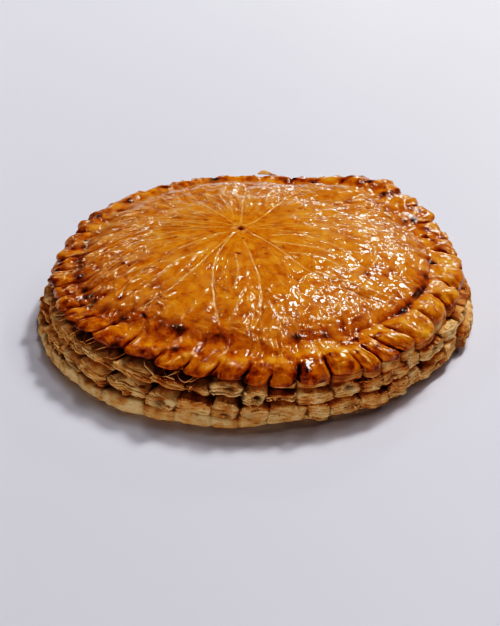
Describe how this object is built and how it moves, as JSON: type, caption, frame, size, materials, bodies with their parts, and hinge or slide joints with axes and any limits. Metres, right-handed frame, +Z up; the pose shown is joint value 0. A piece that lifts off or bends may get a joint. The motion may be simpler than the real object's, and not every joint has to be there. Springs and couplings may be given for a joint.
{
  "type": "frangipane galette des rois",
  "caption": "Round uncut puff pastry cake with a glazed, knife-scored dome, a rim of pinched lobes and a flaky, layered side.",
  "frame": {"origin": "centre of the round sole, at the bottom centre of the bounding box", "axes": "+Z up out of the domed top; the side that faces the camera in the picture is -Y, and the picture's right is +X"},
  "size_m": [0.2506, 0.2472, 0.0498],
  "materials": {
    "glazed_crust": "golden brown baked puff pastry under clear, glossy syrup; pale matte layers on the side"
  },
  "bodies": {
    "root": {"galette": "glazed_crust"}
  },
  "joints": []
}
